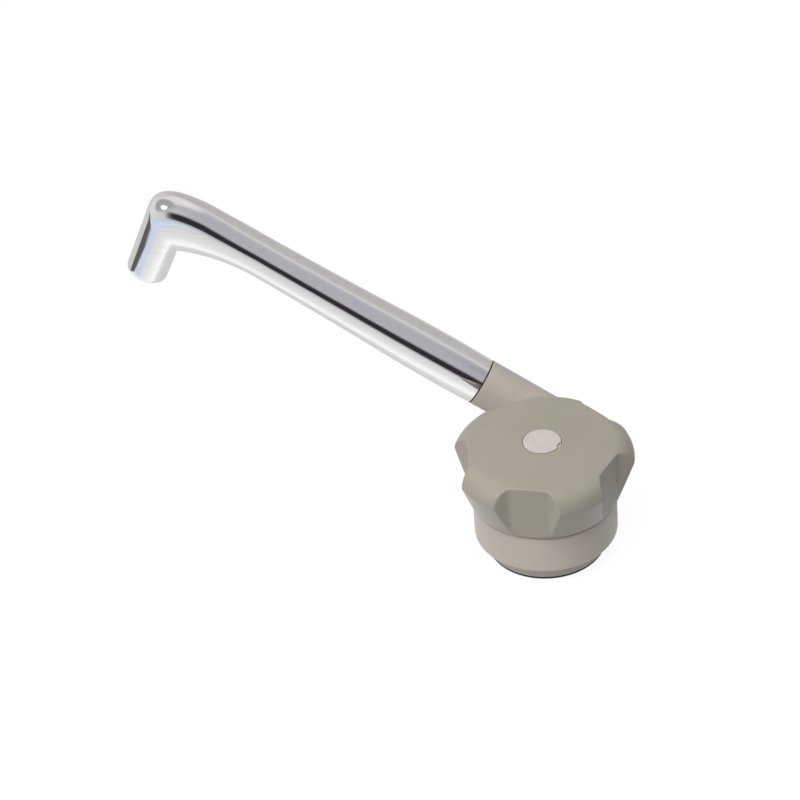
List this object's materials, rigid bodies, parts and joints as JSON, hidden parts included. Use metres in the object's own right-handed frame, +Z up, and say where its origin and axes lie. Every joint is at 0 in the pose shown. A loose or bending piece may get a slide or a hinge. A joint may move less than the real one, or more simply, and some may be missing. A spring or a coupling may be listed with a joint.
{
  "type": "fold-down tap",
  "caption": "Fold-down deck tap: a fluted hand knob on a low round body, and a long chrome spout that rises from an elbow behind it and turns down at its tip.",
  "frame": {"origin": "on the knob's axis, in the plane that the base stands on (the deck gasket's underside)", "axes": "+Z up along the knob's axis, +Y from the knob towards the fold axis's elbow, and the spout's arm towards -X and up"},
  "size_m": [0.1821, 0.0801, 0.0984],
  "materials": {
    "knob_grey": "satin moulded plastic",
    "cap_grey": "satin moulded plastic",
    "body_grey": "satin moulded plastic",
    "ring_grey": "satin moulded plastic",
    "chrome": "polished plating",
    "brass": "turned",
    "steel": "zinc plated",
    "seal_black": "matt",
    "nylon_white": "moulded",
    "ceramic": "lapped ceramic"
  },
  "bodies": {
    "base": {"deck_gasket": "seal_black", "base_ring": "ring_grey", "thrust_washer": "nylon_white", "swivel_socket": "brass", "swivel_o_rings": "seal_black", "swivel_circlip": "steel"},
    "housing": {"tap_body": "body_grey", "cartridge_housing": "brass", "seat_seal": "seal_black", "fixed_disc": "ceramic", "retaining_screw": "steel", "fold_washer": "nylon_white"},
    "knob": {"knob_shell": "knob_grey", "index_cap": "cap_grey", "knob_screw": "steel", "spindle": "brass", "spindle_o_rings": "seal_black", "moving_disc": "ceramic"},
    "spout": {"elbow": "body_grey", "spigot_o_rings": "seal_black", "spout_nipple": "brass", "joint_seal": "seal_black", "spout_tube": "chrome", "aerator_housing": "nylon_white", "aerator_screen": "steel", "aerator_seal": "seal_black"}
  },
  "joints": [
    {"name": "body_swivel", "type": "hinge", "parent": "base", "child": "housing", "pos_m": [0, 0, 0], "axis": [0, 0, 1], "range_deg": [-180, 180]},
    {"name": "knob_turn", "type": "hinge", "parent": "housing", "child": "knob", "pos_m": [0, 0, 0.03], "axis": [0, 0, 1], "range_deg": [0, 90]},
    {"name": "spout_fold", "type": "hinge", "parent": "housing", "child": "spout", "pos_m": [0, 0.0435, 0.0125], "axis": [0, 1, 0], "range_deg": [-22, 30]}
  ]
}
